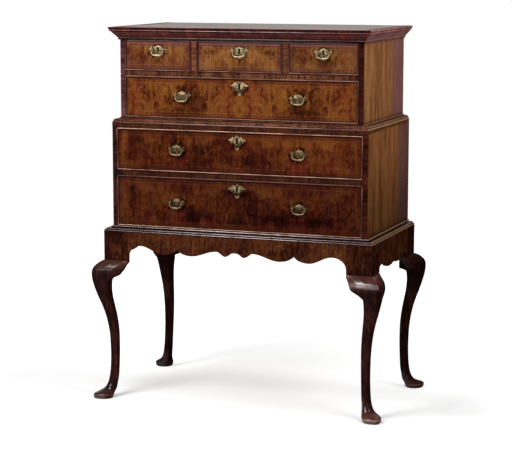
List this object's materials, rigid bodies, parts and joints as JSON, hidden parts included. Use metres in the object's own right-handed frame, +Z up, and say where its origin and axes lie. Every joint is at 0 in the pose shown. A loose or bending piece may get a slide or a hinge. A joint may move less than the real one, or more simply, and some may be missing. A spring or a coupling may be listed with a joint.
{
  "type": "chest on stand",
  "caption": "Chest of drawers in two stepped walnut-veneered cases on a stand with a shaped apron and cabriole legs; sliding drawers with swinging brass bail handles.",
  "frame": {"origin": "on the floor below the middle of the chest, at the bottom centre of the bounding box", "axes": "+X to the right seen from the front, +Y towards the back, +Z up; the drawers open towards -Y"},
  "size_m": [1.1432, 0.6528, 1.4155],
  "materials": {
    "back_rail": "plain dry oak",
    "cornice": "polished cross-grained walnut, glossy",
    "front_apron": "polished figured walnut veneer, satin gloss",
    "left_side_rail": "polished straight-grained walnut veneer, satin gloss",
    "leg_back_left": "polished solid walnut, glossy",
    "leg_back_right": "polished solid walnut, glossy",
    "leg_front_left": "polished solid walnut, glossy",
    "leg_front_right": "polished solid walnut, glossy",
    "long_lower_bail_left": "aged, rubbed brass",
    "long_lower_bail_right": "aged, rubbed brass",
    "long_lower_drawer_box": "plain dry oak",
    "long_lower_drawer_front": "polished figured walnut veneer, satin gloss",
    "long_lower_escutcheon": "aged, rubbed brass",
    "long_lower_plate_left": "aged, rubbed brass",
    "long_lower_plate_right": "aged, rubbed brass",
    "long_middle_bail_left": "aged, rubbed brass",
    "long_middle_bail_right": "aged, rubbed brass",
    "long_middle_drawer_box": "plain dry oak",
    "long_middle_drawer_front": "polished figured walnut veneer, satin gloss",
    "long_middle_escutcheon": "aged, rubbed brass",
    "long_middle_plate_left": "aged, rubbed brass",
    "long_middle_plate_right": "aged, rubbed brass",
    "long_upper_bail_left": "aged, rubbed brass",
    "long_upper_bail_right": "aged, rubbed brass",
    "long_upper_drawer_box": "plain dry oak",
    "long_upper_drawer_front": "polished figured walnut veneer, satin gloss",
    "long_upper_escutcheon": "aged, rubbed brass",
    "long_upper_plate_left": "aged, rubbed brass",
    "long_upper_plate_right": "aged, rubbed brass",
    "lower_back": "plain dry pine",
    "lower_bottom": "plain dry oak",
    "lower_divider": "polished figured walnut veneer, satin gloss",
    "lower_side_left": "polished straight-grained walnut veneer, satin gloss",
    "lower_side_right": "polished straight-grained walnut veneer, satin gloss",
    "lower_top": "plain dry oak",
    "partition_left": "polished figured walnut veneer, satin gloss",
    "partition_right": "polished figured walnut veneer, satin gloss",
    "right_side_rail": "polished straight-grained walnut veneer, satin gloss",
    "short_centre_bail": "aged, rubbed brass",
    "short_centre_plate": "aged, rubbed brass",
    "short_drawer_centre_box": "plain dry oak",
    "short_drawer_centre_front": "polished figured walnut veneer, satin gloss",
    "short_drawer_left_box": "plain dry oak",
    "short_drawer_left_front": "polished figured walnut veneer, satin gloss",
    "short_drawer_right_box": "plain dry oak",
    "short_drawer_right_front": "polished figured walnut veneer, satin gloss",
    "short_left_bail": "aged, rubbed brass",
    "short_left_plate": "aged, rubbed brass",
    "short_right_bail": "aged, rubbed brass",
    "short_right_plate": "aged, rubbed brass",
    "stand_moulding": "polished cross-grained walnut, glossy",
    "upper_back": "plain dry pine",
    "upper_bottom": "plain dry oak",
    "upper_divider": "polished figured walnut veneer, satin gloss",
    "upper_side_left": "polished straight-grained walnut veneer, satin gloss",
    "upper_side_right": "polished straight-grained walnut veneer, satin gloss",
    "upper_top": "plain dry oak",
    "waist_moulding": "polished cross-grained walnut, glossy"
  },
  "bodies": {
    "carcase": {"front_apron": "front_apron", "left_side_rail": "left_side_rail", "right_side_rail": "right_side_rail", "back_rail": "back_rail", "leg_front_left": "leg_front_left", "leg_front_right": "leg_front_right", "leg_back_left": "leg_back_left", "leg_back_right": "leg_back_right", "stand_moulding": "stand_moulding", "lower_side_left": "lower_side_left", "lower_side_right": "lower_side_right", "lower_bottom": "lower_bottom", "lower_divider": "lower_divider", "lower_top": "lower_top", "lower_back": "lower_back", "waist_moulding": "waist_moulding", "upper_side_left": "upper_side_left", "upper_side_right": "upper_side_right", "upper_bottom": "upper_bottom", "upper_divider": "upper_divider", "upper_top": "upper_top", "upper_back": "upper_back", "partition_left": "partition_left", "partition_right": "partition_right", "cornice": "cornice"},
    "short_drawer_left": {"short_drawer_left_front": "short_drawer_left_front", "short_drawer_left_box": "short_drawer_left_box", "short_left_plate": "short_left_plate"},
    "short_left_bail": {"short_left_bail": "short_left_bail"},
    "short_drawer_centre": {"short_drawer_centre_front": "short_drawer_centre_front", "short_drawer_centre_box": "short_drawer_centre_box", "short_centre_plate": "short_centre_plate"},
    "short_centre_bail": {"short_centre_bail": "short_centre_bail"},
    "short_drawer_right": {"short_drawer_right_front": "short_drawer_right_front", "short_drawer_right_box": "short_drawer_right_box", "short_right_plate": "short_right_plate"},
    "short_right_bail": {"short_right_bail": "short_right_bail"},
    "long_upper_drawer": {"long_upper_drawer_front": "long_upper_drawer_front", "long_upper_drawer_box": "long_upper_drawer_box", "long_upper_plate_left": "long_upper_plate_left", "long_upper_plate_right": "long_upper_plate_right", "long_upper_escutcheon": "long_upper_escutcheon"},
    "long_upper_bail_left": {"long_upper_bail_left": "long_upper_bail_left"},
    "long_upper_bail_right": {"long_upper_bail_right": "long_upper_bail_right"},
    "long_middle_drawer": {"long_middle_drawer_front": "long_middle_drawer_front", "long_middle_drawer_box": "long_middle_drawer_box", "long_middle_plate_left": "long_middle_plate_left", "long_middle_plate_right": "long_middle_plate_right", "long_middle_escutcheon": "long_middle_escutcheon"},
    "long_middle_bail_left": {"long_middle_bail_left": "long_middle_bail_left"},
    "long_middle_bail_right": {"long_middle_bail_right": "long_middle_bail_right"},
    "long_lower_drawer": {"long_lower_drawer_front": "long_lower_drawer_front", "long_lower_drawer_box": "long_lower_drawer_box", "long_lower_plate_left": "long_lower_plate_left", "long_lower_plate_right": "long_lower_plate_right", "long_lower_escutcheon": "long_lower_escutcheon"},
    "long_lower_bail_left": {"long_lower_bail_left": "long_lower_bail_left"},
    "long_lower_bail_right": {"long_lower_bail_right": "long_lower_bail_right"}
  },
  "joints": [
    {"name": "short_drawer_left_slide", "type": "slide", "parent": "carcase", "child": "short_drawer_left", "axis": [0, -1, 0], "range_m": [0, 0.34]},
    {"name": "short_left_bail_swing", "type": "hinge", "parent": "short_drawer_left", "child": "short_left_bail", "pos_m": [-0.32465, -0.2424, 1.335], "axis": [-1, 0, 0], "range_deg": [0, 85]},
    {"name": "short_drawer_centre_slide", "type": "slide", "parent": "carcase", "child": "short_drawer_centre", "axis": [0, -1, 0], "range_m": [0, 0.34]},
    {"name": "short_centre_bail_swing", "type": "hinge", "parent": "short_drawer_centre", "child": "short_centre_bail", "pos_m": [0, -0.2424, 1.335], "axis": [-1, 0, 0], "range_deg": [0, 85]},
    {"name": "short_drawer_right_slide", "type": "slide", "parent": "carcase", "child": "short_drawer_right", "axis": [0, -1, 0], "range_m": [0, 0.34]},
    {"name": "short_right_bail_swing", "type": "hinge", "parent": "short_drawer_right", "child": "short_right_bail", "pos_m": [0.32465, -0.2424, 1.335], "axis": [-1, 0, 0], "range_deg": [0, 85]},
    {"name": "long_upper_drawer_slide", "type": "slide", "parent": "carcase", "child": "long_upper_drawer", "axis": [0, -1, 0], "range_m": [0, 0.34]},
    {"name": "long_upper_bail_left_swing", "type": "hinge", "parent": "long_upper_drawer", "child": "long_upper_bail_left", "pos_m": [-0.2285, -0.2424, 1.1665], "axis": [-1, 0, 0], "range_deg": [0, 85]},
    {"name": "long_upper_bail_right_swing", "type": "hinge", "parent": "long_upper_drawer", "child": "long_upper_bail_right", "pos_m": [0.2285, -0.2424, 1.1665], "axis": [-1, 0, 0], "range_deg": [0, 85]},
    {"name": "long_middle_drawer_slide", "type": "slide", "parent": "carcase", "child": "long_middle_drawer", "axis": [0, -1, 0], "range_m": [0, 0.36]},
    {"name": "long_middle_bail_left_swing", "type": "hinge", "parent": "long_middle_drawer", "child": "long_middle_bail_left", "pos_m": [-0.2405, -0.2675, 0.9682], "axis": [-1, 0, 0], "range_deg": [0, 85]},
    {"name": "long_middle_bail_right_swing", "type": "hinge", "parent": "long_middle_drawer", "child": "long_middle_bail_right", "pos_m": [0.2405, -0.2675, 0.9682], "axis": [-1, 0, 0], "range_deg": [0, 85]},
    {"name": "long_lower_drawer_slide", "type": "slide", "parent": "carcase", "child": "long_lower_drawer", "axis": [0, -1, 0], "range_m": [0, 0.36]},
    {"name": "long_lower_bail_left_swing", "type": "hinge", "parent": "long_lower_drawer", "child": "long_lower_bail_left", "pos_m": [-0.2425, -0.2675, 0.7683], "axis": [-1, 0, 0], "range_deg": [0, 85]},
    {"name": "long_lower_bail_right_swing", "type": "hinge", "parent": "long_lower_drawer", "child": "long_lower_bail_right", "pos_m": [0.2425, -0.2675, 0.7683], "axis": [-1, 0, 0], "range_deg": [0, 85]}
  ]
}
